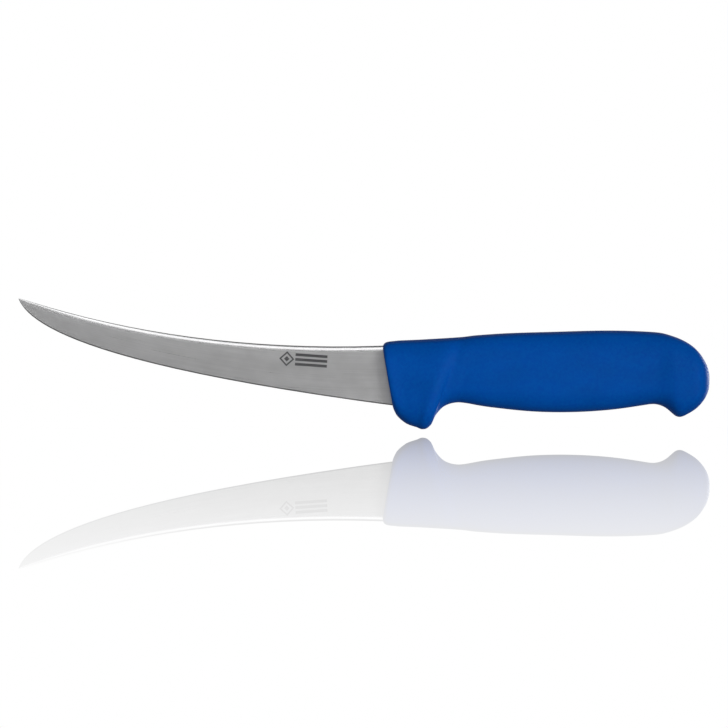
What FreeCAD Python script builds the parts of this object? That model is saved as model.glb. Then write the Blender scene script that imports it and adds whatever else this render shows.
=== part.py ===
import FreeCAD, Part
import math
import os

# Curved boning knife. One steel stamping is both blade and tang. A hard core is moulded round the
# tang, and a grip with a finger guard and a beaked butt is moulded over the core.
#
# Frame, in millimetres: X runs along the knife, from the tip (-X) to the butt (+X). Y runs through
# its thickness. Z points from the cutting edge to the spine. The origin is where the blade's own
# mid-plane leaves the slanted front face of the handle.

# ---- blade ----
BLADE_REACH = 147.5      # origin to tip, along X
TIP_RISE = 31.0          # tip above the origin, because the blade curves up
HEEL_DEPTH = 24.8        # spine to edge at the hidden end of the grind
HEEL_TUCK = 6.0          # the ground blade carries on this far behind the front face
BOW_REACH = 84.0         # origin to the two poles that bow the outlines
SPINE_BOW_RISE = 7.6     # height of the spine's bow pole
EDGE_BOW_DROP = 0.7      # depth of the edge's bow pole
TIP_PULL = 7.1           # tip to the two poles that aim the outlines at the tip
SPINE_TIP_FALL = 1.5     # spine's aiming pole, below the tip
EDGE_TIP_FALL = 17.7     # edge's aiming pole, below the tip
TIP_BLUNT = 0.3          # height of the point itself
STOCK = 2.2              # sheet thickness, kept at the heel and in the tang
BOW_TAPER = 0.1          # thickness lost over the bow poles
POINT_TAPER = 0.6        # thickness lost over the tip's aiming poles
TIP_THICKNESS = 0.2      # thickness at the point
CROWN_DEPTH = 2.4        # height of the rounded spine
EDGE_THICKNESS = 0.4     # thickness behind the cutting bevel
BEVEL_HEIGHT = 0.5       # height of the cutting bevel
POINT_CROWN = 0.4        # share of the point's height that is crown
POINT_BEVEL = 0.2        # share of the point's height that is bevel
POINT_EDGE = 0.5         # share of the point's thickness that is left behind the bevel

# ---- tang ----
TANG_START = 4.5         # front end of the parallel plate, inside the heel
TANG_SHOULDER = 12.0     # where the full height steps down
TANG_AXIS_RISE = 2.0     # middle of the tang above the origin
TANG_HEIGHT = 13.0       # height behind the shoulder
TANG_TAIL_HEIGHT = 9.0   # height at the tail
TANG_TAIL_MARGIN = 31.0  # tail to the butt of the handle
TANG_HOLE = 6.0          # diameter of the locking holes
TANG_HOLES = 3
FIRST_HOLE = 0.6         # shoulder to the first hole, as a share of the holes' pitch
SHOULDER_HEIGHT = 19.0   # height of the plate in front of the shoulder
SHOULDER_ROUND = 2.0     # inside radius at the shoulder
TANG_TAIL_ROUND = 4.0    # corner radius of the tail

# ---- hard core ----
CORE_START = 9.0         # front end, behind the front face
CORE_BUTT_MARGIN = 15.0  # rear end to the butt of the handle
CORE_RISE = 2.5          # middle of the core above the origin
CORE_HEIGHT = 17.0
CORE_WIDTH = 13.0
CORE_ROUND = 4.0         # radius of its long edges
GROOVES = 4              # ring grooves that key the grip to the core
GROOVE_WIDTH = 3.0
GROOVE_DEPTH = 1.2
GROOVE_PITCH = 24.0
FIRST_GROOVE = 20.0      # front face to the first groove

# ---- grip: side view ----
FACE_SLANT = 10.2        # degrees, front face off the vertical, its foot further back
HANDLE_REACH = 128.9     # origin to the butt, along X
SPINE_COVER = 1.35       # grip above the blade's spine, at the front
CORNER_GAP = 0.9         # flat of the front face below the blade's rounded spine
CORNER_REACH = 0.8       # origin to the end of that corner, along X
TOE_START_DROP = 12.5    # foot of the front face, below the origin
TOE_REACH = 7.0          # middle of the guard's rounded toe
TOE_DROP = 18.7
GUARD_REACH = 15.3       # tip of the guard
GUARD_DROP = 21.3
RIDGE_REACH = 26.0       # top of the ridge that ends the guard's side panel
RIDGE_RISE = 15.2
RIDGE_STEP = 2.0         # spacing of the two sections that step down behind the ridge
BACK_CLIMB = 4           # degrees, climb of the back from the front corner to the notch
NOTCH_REACH = 29.2       # top of the index finger's notch
NOTCH_DROP = 10.6
BELLY_DROP = 14.6        # lowest point of the palm swell
CREST_RISE = 18.0        # highest point of the back
BEAK_NOTCH_SETBACK = 21.4  # hollow in front of the beak, ahead of the butt
BEAK_NOTCH_DROP = 11.3
BEAK_SETBACK = 11.7      # tip of the beak, ahead of the butt
BEAK_DROP = 16.5
POMMEL_RISE = 14.7       # back of the handle above the beak
BUTT_DROP = 1.5          # rearmost point, below the origin

# ---- grip: widths and section ----
FACE_WIDTH = 20.0        # across the front face
GUARD_WIDTH = 23.2       # across the ridge
NECK_WIDTH = 21.6        # behind the guard
PALM_WIDTH = 22.0        # over the palm swell
WAIST_WIDTH = 21.2       # in front of the beak
POMMEL_WIDTH = 23.0      # over the beak
FRONT_ROUND = 1.2        # radius of the upright front edges
BUTT_ROUND = 6.5         # length over which the butt is rounded
PINCH = 0.14             # share of the width taken from the underside behind the guard
SQUARENESS = 3.0         # exponent of the rounded section, 2 is an ellipse

HEEL_HALF = HEEL_DEPTH / 2
FRONT_RISE = HEEL_HALF + SPINE_COVER
FLAT_RISE = HEEL_HALF - CROWN_DEPTH - CORNER_GAP
SLANT = math.radians(FACE_SLANT)
BEND_FULLNESS = 0.36     # how far a bend keeps its heading, as a share of its chord
CORNER_FULLNESS = 0.52   # the same for the top front corner, which is squarer
QUARTER_STEPS = 4        # steps along each quarter of a grip section
BAY_SECTIONS = 2         # sections cut in each bay of the grip
LONG_BAY = 12.0          # a bay longer than this has one more section for each such length
CORNER_SECTIONS = 4      # sections cut in the rounded front corner
BUTT_SECTIONS = 7        # sections cut in the last bay, closer together towards the butt
SLOPE_STEP = 1e-4        # radians, to read a section's direction at the end of a quarter
TOLERANCE = 1e-6         # two places closer than this are the same
ROUND_CORNER = [1, math.sqrt(0.5), 1]  # weights that make three poles a quarter of an ellipse


def mirrored(rows):
    """The same rows of points on the other side of the mid-plane."""
    return [[FreeCAD.Vector(p.x, -p.y, p.z) for p in row] for row in rows]


def strip(rows, weights):
    """A face that follows the blade. Each row holds the poles of one lengthwise Bezier curve."""
    surface = Part.BezierSurface()
    surface.increase(len(rows[0]) - 1, len(rows) - 1)
    for j, row in enumerate(rows):
        for i, pole in enumerate(row):
            surface.setPole(i + 1, j + 1, pole, weights[j])
    return surface.toShape()


def blade_rows():
    """Poles of the lengthwise curves on one side: edge, bevel, shoulder, crown corner and spine."""
    along = [HEEL_TUCK, -BOW_REACH, TIP_PULL - BLADE_REACH, -BLADE_REACH]
    spine = [HEEL_HALF, SPINE_BOW_RISE, TIP_RISE - SPINE_TIP_FALL, TIP_RISE]
    edge = [-HEEL_HALF, -EDGE_BOW_DROP, TIP_RISE - EDGE_TIP_FALL, TIP_RISE - TIP_BLUNT]
    half = [STOCK / 2, (STOCK - BOW_TAPER) / 2, (STOCK - POINT_TAPER) / 2, TIP_THICKNESS / 2]
    crown = [CROWN_DEPTH] * 3 + [TIP_BLUNT * POINT_CROWN]
    bevel = [BEVEL_HEIGHT] * 3 + [TIP_BLUNT * POINT_BEVEL]
    keen = [EDGE_THICKNESS / 2] * 3 + [TIP_THICKNESS * POINT_EDGE / 2]
    flat = [0.0] * 4
    shoulder = [top - drop for top, drop in zip(spine, crown)]
    bevel_top = [low + rise for low, rise in zip(edge, bevel)]
    shape = [(flat, edge), (keen, bevel_top), (half, shoulder), (half, spine), (flat, spine)]
    return [[FreeCAD.Vector(x, y, z) for x, y, z in zip(along, side, level)] for side, level in shape]


def runs_along(edge, axis):
    """Whether a straight edge is parallel to an axis."""
    return abs(edge.tangentAt(edge.FirstParameter).dot(axis)) > 1 - TOLERANCE


def end_face(faces, x):
    """The flat face that closes the strips at one end of the blade."""
    rim = [e for f in faces for e in f.Edges if all(abs(v.X - x) < TOLERANCE for v in e.Vertexes)]
    return Part.Face(Part.Wire(Part.__sortEdges__(rim)))


def ground_blade():
    """The ground blade: bevels, flanks and a crowned spine that run out together at the tip."""
    strips = []
    for rows in (blade_rows(), mirrored(blade_rows())):
        strips.append(strip(rows[0:2], [1, 1]))
        strips.append(strip(rows[1:3], [1, 1]))
        strips.append(strip(rows[2:5], ROUND_CORNER))
    ends = [end_face(strips, HEEL_TUCK), end_face(strips, -BLADE_REACH)]
    shell = Part.makeShell(strips + ends)
    shell.sewShape()
    body = Part.Solid(Part.Shell(shell.Faces))
    if body.Volume < 0:
        body.reverse()
    return body


def tang():
    """The parallel plate that the handle is moulded on, with its shoulder and locking holes."""
    tail = HANDLE_REACH - TANG_TAIL_MARGIN
    profile = [(TANG_START, SHOULDER_HEIGHT / 2), (TANG_SHOULDER, SHOULDER_HEIGHT / 2),
               (TANG_SHOULDER, TANG_HEIGHT / 2), (tail, TANG_TAIL_HEIGHT / 2)]
    upper = [FreeCAD.Vector(x, -STOCK / 2, TANG_AXIS_RISE + z) for x, z in profile]
    lower = [FreeCAD.Vector(x, -STOCK / 2, TANG_AXIS_RISE - z) for x, z in reversed(profile)]
    outline = upper + lower + upper[:1]
    plate = Part.Face(Part.makePolygon(outline)).extrude(FreeCAD.Vector(0, STOCK, 0))
    across = [e for e in plate.Edges if runs_along(e, FreeCAD.Vector(0, 1, 0))]
    inside = [e for e in across if abs(e.Vertexes[0].X - TANG_SHOULDER) < TOLERANCE
              and abs(e.Vertexes[0].Z - TANG_AXIS_RISE) < SHOULDER_HEIGHT / 2 - TOLERANCE]
    plate = plate.makeFillet(SHOULDER_ROUND, inside)
    tail_end = [e for e in plate.Edges if runs_along(e, FreeCAD.Vector(0, 1, 0))
                and abs(e.Vertexes[0].X - tail) < TOLERANCE]
    plate = plate.makeFillet(TANG_TAIL_ROUND, tail_end)
    pitch = (tail - TANG_SHOULDER) / TANG_HOLES
    for index in range(TANG_HOLES):
        seat = FreeCAD.Vector(TANG_SHOULDER + (index + FIRST_HOLE) * pitch, -STOCK, TANG_AXIS_RISE)
        plate = plate.cut(Part.makeCylinder(TANG_HOLE / 2, 2 * STOCK, seat, FreeCAD.Vector(0, 1, 0)))
    return plate


def blade():
    return ground_blade().fuse(tang())


def core_blank():
    """The core's outer shape: a rounded bar with ring grooves, solid right through."""
    length = HANDLE_REACH - CORE_BUTT_MARGIN - CORE_START
    corner = FreeCAD.Vector(CORE_START, -CORE_WIDTH / 2, CORE_RISE - CORE_HEIGHT / 2)
    bar = Part.makeBox(length, CORE_WIDTH, CORE_HEIGHT, corner)
    bar = bar.makeFillet(CORE_ROUND, [e for e in bar.Edges if runs_along(e, FreeCAD.Vector(1, 0, 0))])
    for index in range(GROOVES):
        start = FIRST_GROOVE + index * GROOVE_PITCH
        outer = Part.makeBox(GROOVE_WIDTH, CORE_WIDTH, CORE_HEIGHT, FreeCAD.Vector(start, corner.y, corner.z))
        waist = Part.makeBox(GROOVE_WIDTH, CORE_WIDTH - 2 * GROOVE_DEPTH, CORE_HEIGHT - 2 * GROOVE_DEPTH,
                             FreeCAD.Vector(start, corner.y + GROOVE_DEPTH, corner.z + GROOVE_DEPTH))
        waist = waist.makeFillet(CORE_ROUND - GROOVE_DEPTH,
                                 [e for e in waist.Edges if runs_along(e, FreeCAD.Vector(1, 0, 0))])
        bar = bar.cut(outer.cut(waist))
    return bar


def bend(start, end, heading_start, heading_end, fullness, share):
    """A point on the Bezier curve between two outline points that have given headings in degrees."""
    reach = fullness * start.distanceToPoint(end)
    leave = math.radians(heading_start)
    arrive = math.radians(heading_end)
    first = start + FreeCAD.Vector(math.cos(leave), 0, math.sin(leave)) * reach
    last = end - FreeCAD.Vector(math.cos(arrive), 0, math.sin(arrive)) * reach
    rest = 1 - share
    return (start * rest ** 3 + first * (3 * rest ** 2 * share)
            + last * (3 * rest * share ** 2) + end * share ** 3)


def grip_stations():
    """Front to butt: back x, z and heading, underside x, z and heading, width, pinch."""
    beak = HANDLE_REACH - BEAK_SETBACK
    hollow = HANDLE_REACH - BEAK_NOTCH_SETBACK
    middle = (NOTCH_REACH + hollow) / 2
    rise = CREST_RISE - RIDGE_RISE
    climb = math.tan(math.radians(BACK_CLIMB))
    step_width = (GUARD_WIDTH + NECK_WIDTH) / 2
    return [
        # the flat front face, then the rounded corner over it and the toe under it
        (-math.tan(SLANT) * FLAT_RISE, FLAT_RISE, 90 + FACE_SLANT,
         math.tan(SLANT) * TOE_START_DROP, -TOE_START_DROP, -76, FACE_WIDTH, 0),
        (CORNER_REACH, FRONT_RISE, BACK_CLIMB, TOE_REACH, -TOE_DROP, -32, FACE_WIDTH, 0),
        # the ridge down to the guard's tip, then two steps down to the neck behind it
        (RIDGE_REACH, RIDGE_RISE, BACK_CLIMB, GUARD_REACH, -GUARD_DROP, -7, GUARD_WIDTH, 0),
        (RIDGE_REACH + RIDGE_STEP, RIDGE_RISE + climb * RIDGE_STEP, BACK_CLIMB,
         GUARD_REACH + 2.3, 1.8 - GUARD_DROP, 62, step_width, PINCH / 2),
        (RIDGE_REACH + 2 * RIDGE_STEP, RIDGE_RISE + 2 * climb * RIDGE_STEP, BACK_CLIMB,
         GUARD_REACH + 3.9, 5.5 - GUARD_DROP, 66, NECK_WIDTH, PINCH),
        # the index finger's notch and the run out of it
        (NOTCH_REACH + 6, RIDGE_RISE + rise / 3, BACK_CLIMB, NOTCH_REACH, -NOTCH_DROP, 0, NECK_WIDTH, PINCH),
        (NOTCH_REACH + 12, RIDGE_RISE + rise / 2, BACK_CLIMB,
         NOTCH_REACH + 6.8, -NOTCH_DROP - 1.2, -8, NECK_WIDTH, PINCH / 2),
        # the palm swell, then the hollow in front of the beak
        (middle + 3, CREST_RISE - 0.3, 2, middle, -BELLY_DROP, 0, PALM_WIDTH, 0),
        (hollow - 3, CREST_RISE - 0.4, -3.5, hollow - 3.5, -BEAK_NOTCH_DROP - 0.2, 10, WAIST_WIDTH, 0),
        (hollow + 1, CREST_RISE - 0.7, -6, hollow, -BEAK_NOTCH_DROP, -7, WAIST_WIDTH, 0),
        # the beak, and the round butt behind it
        (beak - 3.5, POMMEL_RISE + 1.3, -17, beak - 3, 1.3 - BEAK_DROP, -50, POMMEL_WIDTH, 0),
        (beak, POMMEL_RISE, -24, beak, -BEAK_DROP, 2, POMMEL_WIDTH, 0),
        (beak + 4, POMMEL_RISE - 2.2, -34, beak + 3.2, 1.4 - BEAK_DROP, 23, POMMEL_WIDTH, 0),
        (beak + 8.4, POMMEL_RISE - 6.6, -56, beak + 8.9, 6.2 - BEAK_DROP, 53, POMMEL_WIDTH, 0),
        (HANDLE_REACH, -BUTT_DROP, -90, HANDLE_REACH, -BUTT_DROP, 90, POMMEL_WIDTH, 0),
    ]


def end_rounding(depth, length):
    """Share of the full width that is left this far inside a rounded end."""
    if depth >= length:
        return 1.0
    return math.sqrt(max(0.0, 1 - (1 - depth / length) ** 2))


def grip_section(top, low, width, pinch):
    """A closed rounded section of the grip, in the plane through two facing outline points."""
    middle = (top + low) * 0.5
    up = (top - low) * 0.5

    def rim(angle):
        across = math.copysign(abs(math.cos(angle)) ** (2 / SQUARENESS), math.cos(angle))
        level = math.copysign(abs(math.sin(angle)) ** (2 / SQUARENESS), math.sin(angle))
        narrowing = 1 - pinch * (1 - level) / 2
        return middle + up * level + FreeCAD.Vector(0, across * width / 2 * narrowing, 0)

    def slope(angle):
        return rim(angle + SLOPE_STEP) - rim(angle - SLOPE_STEP)

    quarters = []
    for quarter in range(4):
        start = math.pi * (0.25 + 0.5 * quarter)
        angles = [start + 0.5 * math.pi * step / QUARTER_STEPS for step in range(QUARTER_STEPS + 1)]
        curve = Part.BSplineCurve()
        curve.interpolate(Points=[rim(angle) for angle in angles],
                          InitialTangent=slope(angles[0]), FinalTangent=slope(angles[-1]))
        quarters.append(curve.toShape())
    return Part.Wire(quarters)


def grip_blank():
    """The grip's outer shape, lofted through sections that fan with the guard and the beak."""
    stations = grip_stations()
    wires = []
    for before, after in zip(stations[:-1], stations[1:]):
        back = [FreeCAD.Vector(s[0], 0, s[1]) for s in (before, after)]
        underside = [FreeCAD.Vector(s[3], 0, s[4]) for s in (before, after)]
        length = (back[0] + underside[0]).distanceToPoint(back[1] + underside[1]) / 2
        count = BAY_SECTIONS + int(length / LONG_BAY)
        shares = [step / count for step in range(count)]
        if before is stations[0]:
            shares = [(step / CORNER_SECTIONS) ** 2 for step in range(CORNER_SECTIONS)]
        if after is stations[-1]:
            shares = [1 - (1 - step / BUTT_SECTIONS) ** 2 for step in range(BUTT_SECTIONS)]
        for share in shares:
            fullness = CORNER_FULLNESS if before is stations[0] else BEND_FULLNESS
            top = bend(back[0], back[1], before[2], after[2], fullness, share)
            low = bend(underside[0], underside[1], before[5], after[5], BEND_FULLNESS, share)
            middle = (top + low) * 0.5
            ease = share * share * (3 - 2 * share)
            width = before[6] + (after[6] - before[6]) * ease
            pinch = before[7] + (after[7] - before[7]) * ease
            behind_face = middle.x * math.cos(SLANT) + middle.z * math.sin(SLANT)
            width -= 2 * FRONT_ROUND * (1 - end_rounding(behind_face, FRONT_ROUND))
            width *= end_rounding(HANDLE_REACH - middle.x, BUTT_ROUND)
            wires.append(grip_section(top, low, width, pinch))
    return Part.makeLoft(wires, True, False)


def save(node, shape):
    print(node, "valid", shape.isValid(), "solids", len(shape.Solids), "volume", round(shape.Volume, 1))
    shape.exportStep("parts/" + node + ".step")


os.makedirs("parts", exist_ok=True)
steel = blade()
bar = core_blank()
save("blade", steel)
save("handle_core", bar.cut(steel))
save("handle_grip", grip_blank().cut(bar).cut(steel))
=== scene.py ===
# %% [markdown]
# A boning knife is three pieces: one stamped blade with its tang, a hard core moulded round the tang,
# and a coloured grip moulded over the core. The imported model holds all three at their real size, in
# metres, with the point along -X, the edge down and the flat sides facing -Y and +Y. This lesson keeps
# that frame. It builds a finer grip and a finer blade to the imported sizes, and gives each piece its
# finish.

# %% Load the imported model
import math
import bmesh
import bpy
from mathutils import Matrix, Vector
from mathutils.bvhtree import BVHTree


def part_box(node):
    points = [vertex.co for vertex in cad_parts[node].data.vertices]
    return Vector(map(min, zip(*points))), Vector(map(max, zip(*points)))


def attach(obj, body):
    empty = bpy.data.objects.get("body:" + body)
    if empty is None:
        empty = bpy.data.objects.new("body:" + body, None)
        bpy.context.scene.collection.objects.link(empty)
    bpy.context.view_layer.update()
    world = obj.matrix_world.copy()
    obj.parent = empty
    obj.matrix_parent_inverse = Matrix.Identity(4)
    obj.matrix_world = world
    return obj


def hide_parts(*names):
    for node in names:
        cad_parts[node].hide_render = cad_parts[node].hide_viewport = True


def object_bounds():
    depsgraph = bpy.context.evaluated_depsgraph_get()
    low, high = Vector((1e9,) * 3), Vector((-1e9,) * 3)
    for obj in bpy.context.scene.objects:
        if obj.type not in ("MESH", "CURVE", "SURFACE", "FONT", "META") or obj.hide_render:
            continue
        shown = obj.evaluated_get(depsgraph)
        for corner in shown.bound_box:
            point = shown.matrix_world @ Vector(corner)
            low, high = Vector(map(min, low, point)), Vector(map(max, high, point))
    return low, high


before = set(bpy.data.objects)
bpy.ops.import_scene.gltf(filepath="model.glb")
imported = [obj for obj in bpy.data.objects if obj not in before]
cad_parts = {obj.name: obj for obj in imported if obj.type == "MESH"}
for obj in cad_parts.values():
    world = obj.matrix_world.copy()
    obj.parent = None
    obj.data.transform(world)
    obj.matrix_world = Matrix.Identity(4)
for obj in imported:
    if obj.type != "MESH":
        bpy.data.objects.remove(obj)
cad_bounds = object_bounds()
MM = 0.001
SCENE = bpy.context.scene
SCENE.view_settings.view_transform = "Standard"
print("pieces:", sorted(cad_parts))

# %% [markdown]
# A knife is a long thin thing, and a short lens would make its near end look bigger. A catalogue
# shows it square on, from far away, through a long lens, so that both ends keep one scale.

# %% Place the camera square on to the left side
LENS = 200.0
CAMERA_DISTANCE = 1.618
CAMERA_RISE = 4.7 * MM


def place_camera():
    data = bpy.data.cameras.new("product_camera")
    data.lens = LENS
    camera = bpy.data.objects.new("product_camera", data)
    middle = (cad_bounds[0][0] + cad_bounds[1][0]) / 2
    camera.location = (middle, -CAMERA_DISTANCE, CAMERA_RISE)
    camera.rotation_euler = (math.pi / 2, 0, 0)
    SCENE.collection.objects.link(camera)
    SCENE.camera = camera
    return camera


print("camera stands at", tuple(place_camera().location))

# %% [markdown]
# The grip is one moulding whose outline swells and pinches: a guard, a notch for the first finger, a
# palm swell, a hollow, a beak and a round butt. It could be sculpted, or lofted from curves. Here a
# ring of points is extruded from the front face to the butt, which gives clean rows of squares that
# subdivide well. The rings stand on planes that fan round the guard and the beak, and each plane is
# given by two places in the side view: where it crosses a line near the back, and one near the belly.
# The first rings crowd towards the front face, whose edge is tightly rounded.

# %% Planes of the rings
FAN_LEVEL = 15 * MM
FRONT_CROWDING = 2
FAN = [  # back and belly crossings in millimetres behind the origin, and rings up to this plane
    (-2.7, 2.7, 1),
    (0.6, 6.3, 6),
    (15.0, 12.4, 8),
    (25.9, 17.1, 10),
    (27.9, 18.9, 5),
    (29.8, 19.5, 4),
    (34.9, 28.2, 6),
    (40.9, 35.4, 2),
    (71.1, 68.3, 7),
    (104.5, 103.9, 9),
    (108.4, 107.4, 2),
    (113.7, 114.2, 3),
    (117.2, 117.2, 3),
    (121.3, 120.4, 3),
    (125.4, 126.2, 3),
]


class RingPlane:
    """A plane across the grip: a point on it, its up direction and the way it faces."""

    def __init__(self, back, belly):
        top = Vector((back * MM, 0, FAN_LEVEL))
        foot = Vector((belly * MM, 0, -FAN_LEVEL))
        self.origin = (top + foot) / 2
        self.up = (top - foot).normalized()
        self.normal = Vector((0, 1, 0)).cross(self.up)


def fan_planes():
    planes = [RingPlane(*FAN[0][:2])]
    for before, after in zip(FAN[:-1], FAN[1:]):
        for step in range(1, after[2] + 1):
            share = step / after[2]
            if before is FAN[0]:
                share = share ** FRONT_CROWDING
            back = before[0] + (after[0] - before[0]) * share
            belly = before[1] + (after[1] - before[1]) * share
            planes.append(RingPlane(back, belly))
    return planes


BUTT_INSETS = [2.2, 1.4, 0.8, 0.4, 0.15]
butt_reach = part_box("handle_grip")[1][0] / MM
ring_planes = fan_planes()
ring_planes += [RingPlane(butt_reach - inset, butt_reach - inset) for inset in BUTT_INSETS]
print("rings:", len(ring_planes))

# %% [markdown]
# Each ring has to be as high and as wide as the real grip is there. Reading sizes off a drawing would
# work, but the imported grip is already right, so a copy of it is cut on each plane and the cut is
# measured. The copy's loose triangles are merged first, because a cut needs a joined surface.

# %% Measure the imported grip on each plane
MERGE = 1e-6


def merged_copy(node):
    """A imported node's mesh as a joined bmesh. The node itself is left alone."""
    copy = bmesh.new()
    copy.from_mesh(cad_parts[node].data)
    bmesh.ops.remove_doubles(copy, verts=copy.verts, dist=MERGE)
    return copy


def cut_size(solid, plane):
    """Middle, half height and half width of the solid's outline on a plane."""
    section = solid.copy()
    whole = section.verts[:] + section.edges[:] + section.faces[:]
    cut = bmesh.ops.bisect_plane(section, geom=whole, plane_co=plane.origin, plane_no=plane.normal)
    rim = [v.co.copy() for v in cut["geom_cut"] if isinstance(v, bmesh.types.BMVert)]
    section.free()
    levels = [(p - plane.origin).dot(plane.up) for p in rim]
    middle = plane.origin + plane.up * (max(levels) + min(levels)) / 2
    return middle, (max(levels) - min(levels)) / 2, max(abs(p.y) for p in rim)


packed_grip = merged_copy("handle_grip")
ring_sizes = [cut_size(packed_grip, plane) for plane in ring_planes]
print("widest ring, mm:", round(2 * max(size[2] for size in ring_sizes) / MM, 2))

# %% [markdown]
# A hand likes a section between an ellipse and a rounded box. A circle turns into one when each
# point is pushed out along a superellipse. The first ring is that shape. Every other ring is an
# extrusion of the one before, carried to its own plane and stretched to its own size.

# %% Extrude the grip ring by ring
RING_POINTS = 48
SQUARENESS = 3.0


def squared(value):
    return math.copysign(abs(value) ** (2 / SQUARENESS), value)


def ring_matrix(plane, size):
    """From the unit ring, in X and Y, to its place, height and width across the grip."""
    middle, half_height, half_width = size
    across = Vector((0, half_width, 0))
    up = plane.up * half_height
    columns = Matrix((across, up, plane.normal)).transposed()
    return Matrix.Translation(middle) @ columns.to_4x4()


def extrude_rings(planes, sizes):
    skin = bmesh.new()
    ring = bmesh.ops.create_circle(skin, segments=RING_POINTS, radius=1.0)["verts"]
    for point in ring:
        point.co = Vector((squared(point.co.x), squared(point.co.y), 0))
    before = ring_matrix(planes[0], sizes[0])
    bmesh.ops.transform(skin, matrix=before, verts=ring)
    rings = [ring]
    edges = skin.edges[:]
    for plane, size in zip(planes[1:], sizes[1:]):
        grown = bmesh.ops.extrude_edge_only(skin, edges=edges)["geom"]
        ring = [g for g in grown if isinstance(g, bmesh.types.BMVert)]
        edges = [g for g in grown if isinstance(g, bmesh.types.BMEdge)
                 and all(v in ring for v in g.verts)]
        after = ring_matrix(plane, size)
        bmesh.ops.transform(skin, matrix=after @ before.inverted(), verts=ring)
        before = after
        rings.append(ring)
    return skin, rings


grip_skin, grip_rings = extrude_rings(ring_planes, ring_sizes)
print("grip cage:", len(grip_skin.faces), "faces")

# %% [markdown]
# Behind the guard the real section is pinched towards the underside, where the first finger wraps
# round it. No single formula holds there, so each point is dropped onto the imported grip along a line
# to the middle of its ring. Over the blade's slot there is nothing to land on, so at the front the
# points close to the mid-plane stay where they are.

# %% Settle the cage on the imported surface
OUTSIDE = 60 * MM
SLOT_REACH = 2 * MM
SLOT_CLEAR = 1.3 * MM


def over_slot(point):
    return point.x < SLOT_REACH and abs(point.y) < SLOT_CLEAR


def settle(rings, sizes, surface):
    tree = BVHTree.FromBMesh(surface)
    moves = []
    for ring, size in zip(rings, sizes):
        for point in ring:
            outwards = (point.co - size[0]).normalized()
            hit = tree.ray_cast(point.co + outwards * OUTSIDE, -outwards)[0]
            if hit and not over_slot(point.co):
                moves.append((hit - point.co).length)
                point.co = hit
    return moves


moves = settle(grip_rings[1:], ring_sizes[1:], packed_grip)
print("settled points:", len(moves), "largest move, mm:", round(max(moves) / MM, 3))

# %% [markdown]
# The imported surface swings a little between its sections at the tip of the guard, where a mould is
# smooth. The levels of the points there are averaged along the grip with those of the rings in front
# and behind, a few times over.

# %% Ease the tip of the guard
TIP_FRONT = 8 * MM
TIP_REAR = 19 * MM
TIP_LEVEL = -18.5 * MM
EASE_ROUNDS = 8


def along_the_grip(rings):
    """Each point of the guard's tip with its neighbours in the rings in front and behind."""
    found = []
    for ring in rings:
        own = set(ring)
        for point in ring:
            near = {edge.other_vert(point) for edge in point.link_edges} - own
            if TIP_FRONT < point.co.x < TIP_REAR and point.co.z < TIP_LEVEL:
                found.append((point, near))
    return found


tip_points = along_the_grip(grip_rings[1:-1])
for _ in range(EASE_ROUNDS):
    levels = [sum(other.co.z for other in near) / len(near) for point, near in tip_points]
    for (point, near), level in zip(tip_points, levels):
        point.co.z = (point.co.z + level) / 2
print("points eased at the tip of the guard:", len(tip_points))

# %% [markdown]
# The two ends are closed by flat faces. A second ring just inside each rim keeps the subdivided edge
# tight. At the butt the last face is pushed in a little: it is the scar of the gate where the plastic
# was let into the mould.

# %% Close the front face and the butt
RIM_HOLD = 0.6 * MM
GATE_RADIUS = 1.3 * MM
GATE_DEPTH = 0.2 * MM
GATE_STEPS = [(1.0, 0.0), (0.86, GATE_DEPTH), (0.72, GATE_DEPTH)]  # share of the radius, and depth
GATE_INSET = RIM_HOLD / 10


def close_end(skin, ring):
    """A flat face over an end ring, with a holding ring inside it."""
    face = bmesh.ops.contextual_create(skin, geom=ring)["faces"][0]
    bmesh.ops.inset_region(skin, faces=[face], thickness=RIM_HOLD)
    return face


def press_gate_scar(skin, face):
    """A shallow round recess in the middle of the butt."""
    centre = face.calc_center_median()
    for radius, depth in GATE_STEPS:
        bmesh.ops.inset_region(skin, faces=[face], thickness=GATE_INSET)
        for point in face.verts:
            spoke = (point.co - centre).normalized() * GATE_RADIUS * radius
            point.co = centre + spoke - Vector((depth, 0, 0))


close_end(grip_skin, grip_rings[0])
butt_face = close_end(grip_skin, grip_rings[-1])
press_gate_scar(grip_skin, butt_face)
bmesh.ops.recalc_face_normals(grip_skin, faces=grip_skin.faces)
print("closed:", all(edge.is_manifold for edge in grip_skin.edges))

# %% [markdown]
# The two halves of a mould meet on the mid-plane and leave a fine raised line along the back and the
# belly. It rises no more than a hair, but a finger feels it and a low light shows it. The line of edges
# on the mid-plane is bevelled into a narrow strip, and the middle of that strip is lifted.

# %% Raise the parting line
SEAM_HALF_WIDTH = 0.16 * MM
SEAM_RISE = 0.06 * MM
ON_PLANE = 1e-5


def seam_edges(skin, start, stop):
    """The mid-plane edges along the grip, between two places on X."""
    found = []
    for edge in skin.edges:
        middle = (edge.verts[0].co + edge.verts[1].co) / 2
        flat = all(abs(v.co.y) < ON_PLANE for v in edge.verts)
        if flat and start < middle.x < stop and abs(edge.calc_face_angle()) < math.pi / 2:
            found.append(edge)
    return found


def raise_seam(skin, edges):
    made = bmesh.ops.bevel(skin, geom=edges, offset=SEAM_HALF_WIDTH, segments=2, profile=0.5,
                           affect="EDGES", material=-1)
    skin.normal_update()
    ridge = [v for v in made["verts"] if abs(v.co.y) < ON_PLANE]
    for point in ridge:
        point.co += point.normal * SEAM_RISE
    return len(ridge)


seam_start = 4 * MM
seam_stop = (butt_reach - BUTT_INSETS[1]) * MM
raised = raise_seam(grip_skin, seam_edges(grip_skin, seam_start, seam_stop))
print("points on the parting line:", raised)

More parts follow.
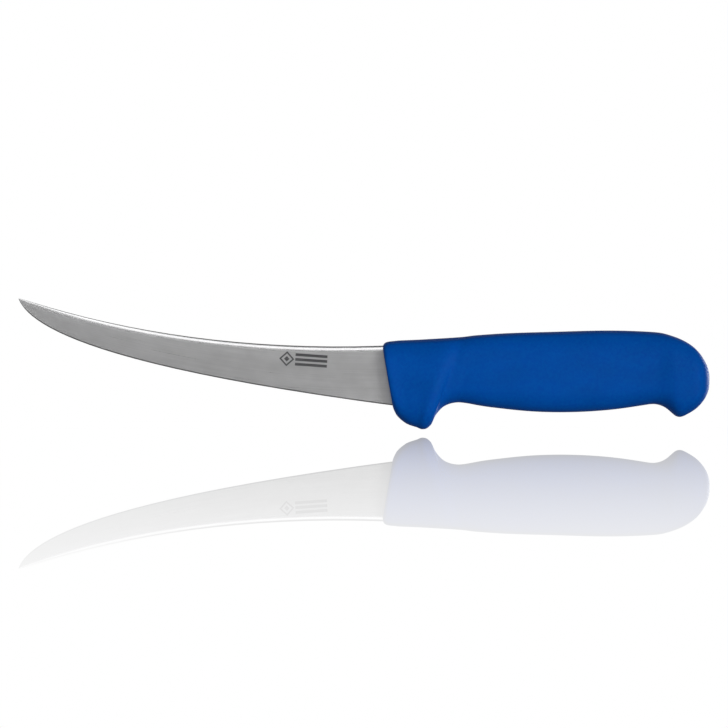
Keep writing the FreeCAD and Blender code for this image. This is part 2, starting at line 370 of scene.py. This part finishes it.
# %% [markdown]
# The cage becomes an object, and its modifiers are applied at once, so that none is left live. Three
# helpers do that: one makes the object, one rounds it with Subdivision Surface, and one cuts it with
# another solid or joins the two.

# %% Helpers for solid pieces
SUBDIVISIONS = 2


def object_from(mesh_data, name):
    """A new object at the origin from a bmesh, which is freed."""
    mesh = bpy.data.meshes.new(name)
    mesh_data.to_mesh(mesh)
    mesh_data.free()
    made = bpy.data.objects.new(name, mesh)
    SCENE.collection.objects.link(made)
    return made


def settled_mesh(piece):
    """The piece's mesh with its modifiers applied, so that none is left live."""
    bpy.context.view_layer.update()
    view = bpy.context.evaluated_depsgraph_get()
    result = bpy.data.meshes.new_from_object(piece.evaluated_get(view))
    piece.modifiers.clear()
    piece.data = result


def subdivide(piece):
    surface = piece.modifiers.new("subdivision", "SUBSURF")
    surface.levels = SUBDIVISIONS
    surface.render_levels = SUBDIVISIONS
    settled_mesh(piece)


def combine(piece, other, operation):
    """Cut the piece with another solid, or join the two, and remove the other."""
    change = piece.modifiers.new("combine", "BOOLEAN")
    change.operation = operation
    change.solver = "EXACT"
    change.object = other
    settled_mesh(piece)
    bpy.data.objects.remove(other)


print("levels of subdivision:", SUBDIVISIONS)

# %% [markdown]
# The real grip is hollow where the core and the blade fill it, so the finished skin is cut with copies
# of both, as the moulding itself was shaped by them. Where two surfaces almost meet, a cut leaves loose
# slivers. They are found by walking along the edges from point to point, and only the largest shell is
# kept.

# %% Finish the grip
SHARP_ANGLE = math.radians(40)


def reach(start):
    """Every point joined to this one by edges."""
    found = {start}
    front = [start]
    while front:
        near = {edge.other_vert(point) for point in front for edge in point.link_edges}
        front = list(near - found)
        found |= near
    return found


def keep_largest(piece):
    """Drop the loose slivers that a cut leaves behind, and return how many there were."""
    mesh = bmesh.new()
    mesh.from_mesh(piece.data)
    left = set(mesh.verts)
    islands = []
    while left:
        islands.append(reach(next(iter(left))))
        left -= islands[-1]
    islands.sort(key=len)
    slivers = [point for island in islands[:-1] for point in island]
    bmesh.ops.delete(mesh, geom=slivers, context="VERTS")
    mesh.to_mesh(piece.data)
    mesh.free()
    return len(islands) - 1


handle_grip = object_from(grip_skin, "grip_moulding")
subdivide(handle_grip)
for filling in ("handle_core", "blade"):
    combine(handle_grip, object_from(merged_copy(filling), filling + "_cutter"), "DIFFERENCE")
print("slivers removed:", keep_largest(handle_grip))
handle_grip.data.shade_smooth()
handle_grip.data.set_sharp_from_angle(angle=SHARP_ANGLE)
packed_grip.free()
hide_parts("handle_grip")
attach(handle_grip, "root")
print("grip faces:", len(handle_grip.data.polygons))

# %% [markdown]
# The blade could stay as it was packed, but light on steel shows every facet, and most of all where the
# round spine runs out into the point. So the ground part is built again in even rows. Each section is
# a thin wedge: a cutting bevel, a flat flank, and a rounded spine. One section is a ring of points,
# and the blade is that ring extruded from the heel to the point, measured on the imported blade.

# %% Section of the blade
CROWN_DEPTH = 2.4 * MM
CROWN_POWER = 1.6
CROWN_STEPS = 10
CROWN_SHARE = 0.3
FLANK_STEPS = 3
BEVEL_HEIGHT = 0.5 * MM
BEVEL_SHARE = 0.1
KEEN_HALF = 0.2 * MM
KEEN_SHARE = 0.5


def flank_points(low, high, half):
    """Level and half thickness of one side's points, from the edge up to the spine."""
    crown = min(CROWN_DEPTH, CROWN_SHARE * (high - low))
    bevel = min(BEVEL_HEIGHT, BEVEL_SHARE * (high - low))
    keen = min(KEEN_HALF, KEEN_SHARE * half)
    points = [(low, 0.0)]
    for step in range(FLANK_STEPS):
        share = step / FLANK_STEPS
        level = low + bevel + (high - crown - low - bevel) * share
        points.append((level, keen + (half - keen) * share))
    for step in range(CROWN_STEPS):
        share = step / CROWN_STEPS
        level = high - crown * (1 - share)
        points.append((level, half * (1 - share ** CROWN_POWER) ** (1 / CROWN_POWER)))
    points.append((high, 0.0))
    return points


def place_section(ring, x, low, high, half):
    """Move the ring's points to the section at x: up the left flank and down the right one."""
    rise = flank_points(low, high, half)
    outline = [(level, -side) for level, side in rise]
    outline += [(level, side) for level, side in reversed(rise[1:-1])]
    for point, (level, side) in zip(ring, outline):
        point.co = Vector((x, side, level))


section_count = 2 * len(flank_points(0.0, 1.0, 1.0)) - 2
print("points round the section:", section_count)

# %% [markdown]
# The rows stand closer together towards the point, where the outline turns fastest. The extrusion keeps
# the ring's order, so each new ring is found by following the edges that join it to the last one.

# %% Extrude the blade from heel to point
HEEL_X = 3 * MM
POINT_GAP = 0.04 * MM
BLADE_ROWS = 110
ROW_CROWDING = 1.7


def blade_rows():
    """Places of the rows along X, closer together towards the point."""
    point_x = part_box("blade")[0][0] + POINT_GAP
    shares = [row / BLADE_ROWS for row in range(BLADE_ROWS + 1)]
    return [point_x + (HEEL_X - point_x) * (1 - share) ** ROW_CROWDING for share in shares]


def next_ring(mesh, ring):
    """Extrude an ordered ring, and give the new points in the same order."""
    edges = [mesh.edges.get((a, b)) for a, b in zip(ring, ring[1:] + ring[:1])]
    grown = bmesh.ops.extrude_edge_only(mesh, edges=edges)["geom"]
    fresh = {g for g in grown if isinstance(g, bmesh.types.BMVert)}
    return [next(e.other_vert(v) for e in v.link_edges if e.other_vert(v) in fresh) for v in ring]


def upright_cut(solid, x):
    """Lowest and highest level and half thickness of an upright cut."""
    plane = RingPlane(x / MM, x / MM)
    middle, half_height, half_width = cut_size(solid, plane)
    return middle.z - half_height, middle.z + half_height, half_width


def ground_blade(packed):
    mesh = bmesh.new()
    ring = bmesh.ops.create_circle(mesh, segments=section_count, radius=1.0)["verts"]
    heel = ring
    for row, x in enumerate(blade_rows()):
        if row:
            ring = next_ring(mesh, ring)
        place_section(ring, x, *upright_cut(packed, x))
    bmesh.ops.contextual_create(mesh, geom=heel)
    bmesh.ops.contextual_create(mesh, geom=ring)
    bmesh.ops.recalc_face_normals(mesh, faces=mesh.faces)
    return mesh


packed_blade = merged_copy("blade")
ground = ground_blade(packed_blade)
print("ground blade closed:", all(edge.is_manifold for edge in ground.edges), len(ground.faces))

# %% [markdown]
# The tang is a plain plate with three holes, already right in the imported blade. It is cut off inside
# the heel, closed, and joined to the new ground part, because the real blade is one stamping.

# %% Join the tang
BEVEL_ANGLE = math.radians(12)


def tang_mesh(packed):
    whole = packed.verts[:] + packed.edges[:] + packed.faces[:]
    bmesh.ops.bisect_plane(packed, geom=whole, plane_co=(HEEL_X, 0, 0), plane_no=(-1, 0, 0),
                           clear_outer=True)
    rim = [edge for edge in packed.edges if edge.is_boundary]
    bmesh.ops.holes_fill(packed, edges=rim)
    bmesh.ops.recalc_face_normals(packed, faces=packed.faces)
    return packed


steel_blade = object_from(ground, "ground_blade")
tang = object_from(tang_mesh(packed_blade), "tang")
combine(steel_blade, tang, "UNION")
steel_blade.data.shade_smooth()
steel_blade.data.set_sharp_from_angle(angle=BEVEL_ANGLE)
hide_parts("blade")
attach(steel_blade, "root")
print("blade faces:", len(steel_blade.data.polygons))

# %% [markdown]
# Every finish here is a graph of nodes that reads Object coordinates, in metres, so a grain of a fifth
# of a millimetre is a scale of about 5000. A few short helpers keep the graphs readable. Noise seldom
# leaves its middle range, so that is the part that gets stretched to the values that are wanted.

# %% Helpers for finishes
NOISE_LOW = 0.3
NOISE_HIGH = 0.7


def new_finish(name):
    finish = bpy.data.materials.new(name)
    finish.use_nodes = True
    return finish, finish.node_tree, finish.node_tree.nodes["Principled BSDF"]


def add(tree, kind, sockets, **settings):
    """A node whose sockets are set to numbers, or linked to another node's output."""
    made = tree.nodes.new("ShaderNode" + kind)
    for name, value in settings.items():
        setattr(made, name, value)
    for name, value in sockets.items():
        if isinstance(value, bpy.types.NodeSocket):
            tree.links.new(value, made.inputs[name])
        else:
            made.inputs[name].default_value = value
    return made


def calc(tree, operation, first, second=0.0, third=0.0):
    return add(tree, "Math", {0: first, 1: second, 2: third}, operation=operation).outputs[0]


def remap(tree, value, low, high, to_low, to_high, blend="LINEAR"):
    sockets = {"Value": value, "From Min": low, "From Max": high, "To Min": to_low, "To Max": to_high}
    return add(tree, "MapRange", sockets, interpolation_type=blend).outputs["Result"]


def noise(tree, place, scale, detail, stretch=(1, 1, 1)):
    """Noise with its features stretched along an axis whose share is small."""
    mapped = add(tree, "Mapping", {"Vector": place, "Scale": stretch}).outputs[0]
    return add(tree, "TexNoise", {"Vector": mapped, "Scale": scale, "Detail": detail}).outputs[0]


def vary(tree, value, to_low, to_high):
    """A noise's middle range, stretched from one value to another."""
    return remap(tree, value, NOISE_LOW, NOISE_HIGH, to_low, to_high)


def product(tree, *factors):
    result = factors[0]
    for factor in factors[1:]:
        result = calc(tree, "MULTIPLY", result, factor)
    return result


print("noise is stretched from", NOISE_LOW, "to", NOISE_HIGH)

# %% [markdown]
# The blade is satin finished with a belt that runs along it, and the belt leaves fine lines that follow
# its curve. The lines could be painted on, but noise that is stretched along the blade draws them. They
# are drawn in a frame that is bent with the blade: a point's height is measured from a parabola close
# to the blade's own bow.

# %% A frame that bends with the blade
BOW = 1.2


def bent_place(tree):
    place = add(tree, "TexCoord", {}).outputs["Object"]
    parts = add(tree, "SeparateXYZ", {"Vector": place})
    drop = product(tree, parts.outputs["X"], parts.outputs["X"], BOW)
    height = calc(tree, "SUBTRACT", parts.outputs["Z"], drop)
    sockets = {"X": parts.outputs["X"], "Y": parts.outputs["Y"], "Z": height}
    return parts, add(tree, "CombineXYZ", sockets).outputs[0]


print("rise of the bent frame at the point, mm:", round(BOW * cad_bounds[0][0] ** 2 / MM, 1))

# %% [markdown]
# A maker burns a mark on the left side of the blade with a laser. Here it is only a lozenge with a
# solid heart, and three bars. It is worked out from distances: the lozenge's line is where the two
# distances to its middle add up to one sum, and the bars are a distance folded back and forth.

# %% The mark on the blade
MARK_PLACE = (-33 * MM, 6.3 * MM)
MARK_TILT = math.radians(4)
SOFT_RIM = 0.06 * MM
LOZENGE_SETBACK = 7.2 * MM
LOZENGE_REACH = 2.6 * MM
LOZENGE_LINE = 0.42 * MM
HEART_REACH = 1.1 * MM
BARS = 3
BAR_PITCH = 1.9 * MM
BAR_HALF_HEIGHT = 0.56 * MM
BAR_MIDDLE = 2.6 * MM
BAR_HALF_LENGTH = 6.4 * MM
FOLDS_BELOW = 20
LEFT_SIDE = -0.25 * MM
SIDE_BLEND = 0.05 * MM


def inside(tree, value, limit, soft=SOFT_RIM):
    """1 where the size of value is under the limit, with a soft rim."""
    return remap(tree, calc(tree, "ABSOLUTE", value), limit - soft, limit + soft, 1.0, 0.0)


def mark_axes(tree, parts):
    """Distances from the middle of the mark, along its bars and across them."""
    across = calc(tree, "SUBTRACT", parts.outputs["X"], MARK_PLACE[0])
    level = calc(tree, "SUBTRACT", parts.outputs["Z"], MARK_PLACE[1])
    along = calc(tree, "SUBTRACT", calc(tree, "MULTIPLY", across, math.cos(MARK_TILT)),
                 calc(tree, "MULTIPLY", level, math.sin(MARK_TILT)))
    rise = calc(tree, "ADD", calc(tree, "MULTIPLY", across, math.sin(MARK_TILT)),
                calc(tree, "MULTIPLY", level, math.cos(MARK_TILT)))
    return along, rise


def lozenge_mask(tree, along, rise):
    beside = calc(tree, "ABSOLUTE", calc(tree, "ADD", along, LOZENGE_SETBACK))
    reach_sum = calc(tree, "ADD", beside, calc(tree, "ABSOLUTE", rise))
    outline = inside(tree, calc(tree, "SUBTRACT", reach_sum, LOZENGE_REACH), LOZENGE_LINE)
    return calc(tree, "MAXIMUM", outline, inside(tree, reach_sum, HEART_REACH))


def bars_mask(tree, along, rise):
    length = inside(tree, calc(tree, "SUBTRACT", along, BAR_MIDDLE), BAR_HALF_LENGTH)
    lifted = calc(tree, "ADD", rise, FOLDS_BELOW * BAR_PITCH)
    rows = inside(tree, calc(tree, "PINGPONG", lifted, BAR_PITCH / 2), BAR_HALF_HEIGHT)
    return product(tree, length, rows, inside(tree, rise, BARS * BAR_PITCH / 2))


def mark_mask(tree, parts):
    along, rise = mark_axes(tree, parts)
    shape = calc(tree, "MAXIMUM", lozenge_mask(tree, along, rise), bars_mask(tree, along, rise))
    low, high = LEFT_SIDE - SIDE_BLEND, LEFT_SIDE + SIDE_BLEND
    left_side = remap(tree, parts.outputs["Y"], low, high, 1.0, 0.0)
    return calc(tree, "MULTIPLY", shape, left_side)


print("bars in the mark:", BARS)

# %% [markdown]
# Satin steel is bright metal with a medium gloss. Its lines come in two widths, and wide faint clouds
# keep the flank from looking printed. The round spine is buffed, so it is smoother than the flanks, and
# its colour is painted brighter there as a highlight. The colour of the cutting bevel is painted darker
# as shade. Both are picked out by how far a face tilts up or down.

# %% Satin steel
STEEL = (0.56, 0.56, 0.565)
BURNT = (0.06, 0.06, 0.064, 1)
FINE_LINES = (40, 4200, 4200)
WIDE_LINES = (22, 1900, 1900)
CLOUDS = (120, 120, 210)
DRIFTS = (25, 25, 40)
FINE_SHARE = 0.65
SPINE_TILT = (0.04, 0.3)
EDGE_TILT = (-0.3, -0.15)
# painted highlight: how much brighter the steel's colour is made on the spine, where a face tilts up
SPINE_PAINTED_HIGHLIGHT = 1.25
# painted shade: how much darker the steel's colour is made on the cutting bevel, where a face tilts
# down
EDGE_PAINTED_SHADE = 0.6
SPINE_SMOOTHER = -0.06
MARK_ROUGHER = 0.2


def satin_steel():
    finish, tree, shader = new_finish("satin_steel")
    parts, place = bent_place(tree)
    facing = add(tree, "TexCoord", {}).outputs["Normal"]
    tilt = add(tree, "SeparateXYZ", {"Vector": facing}).outputs["Z"]
    spine = remap(tree, tilt, *SPINE_TILT, 0.0, 1.0, "SMOOTHSTEP")
    edge = remap(tree, tilt, *EDGE_TILT, 1.0, 0.0)
    fine = noise(tree, place, 1.0, 2.0, FINE_LINES)
    wide = calc(tree, "MULTIPLY", noise(tree, place, 1.0, 1.0, WIDE_LINES), 1 - FINE_SHARE)
    grain = calc(tree, "MULTIPLY_ADD", fine, FINE_SHARE, wide)
    clouds = vary(tree, noise(tree, place, 1.0, 5.0, CLOUDS), 0.95, 1.05)
    drifts = vary(tree, noise(tree, place, 1.0, 1.0, DRIFTS), 0.96, 1.04)
    # painted highlight: the colour is made brighter where a face tilts up towards the spine, which is
    # also made smoother below because it is buffed
    painted_highlight = remap(tree, spine, 0.0, 1.0, 1.0, SPINE_PAINTED_HIGHLIGHT)
    # painted shade: the colour is made darker where a face tilts down on the cutting bevel
    painted_shade = remap(tree, edge, 0.0, 1.0, 1.0, EDGE_PAINTED_SHADE)
    tone = product(tree, vary(tree, grain, 0.93, 1.07), clouds, drifts, painted_highlight, painted_shade)
    bright = add(tree, "VectorMath", {0: STEEL, "Scale": tone}, operation="SCALE").outputs[0]
    mark = calc(tree, "MULTIPLY", mark_mask(tree, parts), vary(tree, fine, 0.85, 1.0))
    metals = {"Factor": mark, "A": bright, "B": BURNT}
    colour = add(tree, "Mix", metals, data_type="RGBA").outputs["Result"]
    tree.links.new(colour, shader.inputs["Base Color"])
    rough = vary(tree, grain, 0.27, 0.33)
    rough = calc(tree, "ADD", rough, calc(tree, "MULTIPLY", spine, SPINE_SMOOTHER))
    rough = calc(tree, "ADD", rough, calc(tree, "MULTIPLY", mark, MARK_ROUGHER))
    tree.links.new(rough, shader.inputs["Roughness"])
    bump = add(tree, "Bump", {"Height": grain, "Strength": 0.15, "Distance": 0.01 * MM})
    tree.links.new(bump.outputs["Normal"], shader.inputs["Normal"])
    shader.inputs["Metallic"].default_value = 1.0
    return finish


def paint(piece, finish):
    piece.data.materials.clear()
    piece.data.materials.append(finish)


paint(steel_blade, satin_steel())
print("blade painted")

# %% [markdown]
# The grip is a tough elastomer, coloured right through, from a mould with a spark-eroded face. That
# face prints a very fine matte grain, so the gloss is low and wide. The colour and the gloss drift a
# little where the melt flowed, and a fine mottle runs between two close blues.

# %% Blue moulded grip
GRIP_BLUE = (0.0, 0.083, 0.455, 1)
GRIP_BLUE_GREENER = (0.0, 0.094, 0.448, 1)
NARROW_RANGE = (0.35, 0.65)
GRAIN_SCALE = 5200.0
MOTTLE_SCALE = 900.0
FLOW = (70, 110, 150)
GRIP_GLOSS = 0.04


def grip_plastic():
    finish, tree, shader = new_finish("grip_blue")
    place = add(tree, "TexCoord", {}).outputs["Object"]
    grain = noise(tree, place, GRAIN_SCALE, 2.0)
    flow = noise(tree, place, 1.0, 5.0, FLOW)
    mottle = noise(tree, place, MOTTLE_SCALE, 3.0)
    tone = product(tree, vary(tree, flow, 0.95, 1.05), vary(tree, mottle, 0.965, 1.035),
                   vary(tree, grain, 0.97, 1.03))
    hue = remap(tree, mottle, *NARROW_RANGE, 0.0, 1.0)
    blues = {"Factor": hue, "A": GRIP_BLUE, "B": GRIP_BLUE_GREENER}
    blue = add(tree, "Mix", blues, data_type="RGBA").outputs["Result"]
    colour = add(tree, "VectorMath", {0: blue, "Scale": tone}, operation="SCALE").outputs[0]
    tree.links.new(colour, shader.inputs["Base Color"])
    rough = remap(tree, flow, *NARROW_RANGE, 0.50, 0.60)
    rough = calc(tree, "ADD", rough, vary(tree, grain, -0.03, 0.03))
    tree.links.new(rough, shader.inputs["Roughness"])
    fine = add(tree, "Bump", {"Height": grain, "Strength": 0.35, "Distance": 0.02 * MM})
    broad = add(tree, "Bump", {"Height": mottle, "Strength": 0.15, "Distance": 0.05 * MM,
                               "Normal": fine.outputs["Normal"]})
    tree.links.new(broad.outputs["Normal"], shader.inputs["Normal"])
    shader.inputs["Specular IOR Level"].default_value = GRIP_GLOSS
    return finish


paint(handle_grip, grip_plastic())
print("grip painted")

# %% [markdown]
# The core is never seen once the grip is over it. It is a hard filled plastic, moulded first, and its
# skin shows long streaks where the fibres lie along the knife. It still gets its own finish, so that
# the knife looks right when it is taken apart.

# %% Grey filled core
CORE_GREY = (0.055, 0.058, 0.062, 1)
CORE_STREAK = (0.10, 0.102, 0.105, 1)
FIBRES = (60, 1400, 1400)
FIBRE_RANGE = (0.4, 0.7)


def core_plastic():
    finish, tree, shader = new_finish("core_grey")
    place = add(tree, "TexCoord", {}).outputs["Object"]
    fibres = noise(tree, place, 1.0, 4.0, FIBRES)
    share = remap(tree, fibres, *FIBRE_RANGE, 0.0, 1.0)
    greys = {"Factor": share, "A": CORE_GREY, "B": CORE_STREAK}
    colour = add(tree, "Mix", greys, data_type="RGBA").outputs["Result"]
    tree.links.new(colour, shader.inputs["Base Color"])
    tree.links.new(vary(tree, fibres, 0.42, 0.62), shader.inputs["Roughness"])
    bump = add(tree, "Bump", {"Height": fibres, "Strength": 0.3, "Distance": 0.03 * MM})
    tree.links.new(bump.outputs["Normal"], shader.inputs["Normal"])
    return finish


paint(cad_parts["handle_core"], core_plastic())
print("core painted")

# %% [markdown]
# The knife stands on a pale polished table. Close to the knife the table mirrors two thirds of what it
# sees, and the mirror fades towards the viewer and behind the knife. Only the camera sees the table:
# the light under the knife comes from the room, and so the underside stays in soft shade.

# %% Pale table
TABLE_SIZE = 8.0
TABLE_GAP = 1.6 * MM
MIRROR_NEAR = 0.66
MIRROR_FAR = 0.12
MIRROR_REACH = 1.1
MIRROR_BEHIND = (0.06, 0.3)
WHITE = (1, 1, 1, 1)


def table_finish():
    finish = bpy.data.materials.new("pale_table")
    finish.use_nodes = True
    tree = finish.node_tree
    tree.nodes.clear()
    place = add(tree, "TexCoord", {}).outputs["Object"]
    depth = add(tree, "SeparateXYZ", {"Vector": place}).outputs["Y"]
    share = remap(tree, depth, -MIRROR_REACH, 0.0, MIRROR_FAR, MIRROR_NEAR)
    share = product(tree, share, remap(tree, depth, *MIRROR_BEHIND, 1.0, 0.0, "SMOOTHSTEP"))
    pale = add(tree, "Emission", {"Color": WHITE})
    mirror = add(tree, "BsdfGlossy", {"Color": WHITE, "Roughness": 0.0})
    both = add(tree, "MixShader", {"Fac": share, 1: pale.outputs[0], 2: mirror.outputs[0]})
    add(tree, "OutputMaterial", {"Surface": both.outputs[0]})
    return finish


def lay_table():
    top = bmesh.new()
    bmesh.ops.create_grid(top, x_segments=1, y_segments=1, size=TABLE_SIZE / 2)
    level = cad_bounds[0][2] - TABLE_GAP
    bmesh.ops.translate(top, verts=top.verts, vec=(0, 0, level))
    table = object_from(top, "table")
    table.visible_diffuse = False
    table.visible_glossy = False
    table.visible_shadow = False
    paint(table, table_finish())
    return level


print("table level, mm:", round(lay_table() / MM, 2))

# %% [markdown]
# The room is one soft light: brighter in front and behind, and dimmer at the ends, above and below.
# A gradient on the direction of each ray says so. What the camera itself sees, and what the table
# mirrors, is plain white, as in a catalogue.

# %% Soft room
ROOM_FRONT = 0.45
ROOM_SIDE = 0.25
ROOM_BELOW = 0.45
ROOM_ABOVE = 0.35
FRONT_FADE = (0.0, 0.9)
BELOW_FADE = (-0.7, 0.0)
ABOVE_FADE = (0.25, 0.9)


def soft_room():
    room = bpy.data.worlds.new("soft_room")
    room.use_nodes = True
    SCENE.world = room
    tree = room.node_tree
    ray = add(tree, "TexCoord", {}).outputs["Generated"]
    ways = add(tree, "SeparateXYZ", {"Vector": ray})
    facing = calc(tree, "ABSOLUTE", ways.outputs["Y"])
    up = ways.outputs["Z"]
    front = remap(tree, facing, *FRONT_FADE, ROOM_SIDE, ROOM_FRONT, "SMOOTHSTEP")
    below = remap(tree, up, *BELOW_FADE, ROOM_BELOW, 1.0, "SMOOTHSTEP")
    above = remap(tree, up, *ABOVE_FADE, 1.0, ROOM_ABOVE, "SMOOTHSTEP")
    level = product(tree, front, below, above)
    rays = add(tree, "LightPath", {}).outputs
    seen = calc(tree, "MAXIMUM", rays["Is Camera Ray"], rays["Is Singular Ray"])
    strength = add(tree, "Mix", {"Factor": seen, "A": level, "B": 1.0}, data_type="FLOAT")
    tree.links.new(strength.outputs["Result"], tree.nodes["Background"].inputs["Strength"])
    tree.nodes["Background"].inputs["Color"].default_value = WHITE


soft_room()
print("room lit")

# %% [markdown]
# Softboxes do the rest. A gridded one on each side, beyond the butt, lights the knife and shows the
# ridge behind the guard. Steel needs lights of its own, because it shows them as reflections: a long
# box above the viewer draws the bright line under the spine, and a weak one on the left lifts the
# point. In a studio, black flags keep those two off the grip, and in Blender light linking does.

# %% Softboxes
GRID_SPREAD = 32


def softbox(name, place, aim, size, power, only, spread=180.0):
    data = bpy.data.lights.new(name, "AREA")
    data.shape = "RECTANGLE"
    data.size, data.size_y = size
    data.energy = power
    data.spread = math.radians(spread)
    lamp = bpy.data.objects.new(name, data)
    lamp.location = place
    lamp.rotation_euler = (Vector(aim) - Vector(place)).to_track_quat("-Z", "Y").to_euler()
    lamp.light_linking.receiver_collection = only
    lamp.visible_camera = False
    SCENE.collection.objects.link(lamp)


def lit_group(name, members):
    group = bpy.data.collections.new(name)
    for member in members:
        group.objects.link(member)
    return group


steel_only = lit_group("steel_only", [steel_blade])
knife_only = lit_group("knife_only", [steel_blade, handle_grip])
for side in (-1, 1):
    softbox("gridded_box", (0.5, 0.9 * side, 0.05), (-0.08, 0, 0), (0.5, 0.5), 0.42, knife_only,
            spread=GRID_SPREAD)
softbox("spine_box", (-0.07, -0.5, 0.5), (-0.07, 0, 0), (1.0, 0.35), 1.45, steel_only)
softbox("point_box", (-0.4, -0.8, 0), (-0.1, 0, 0.01), (0.45, 0.45), 0.09, steel_only)
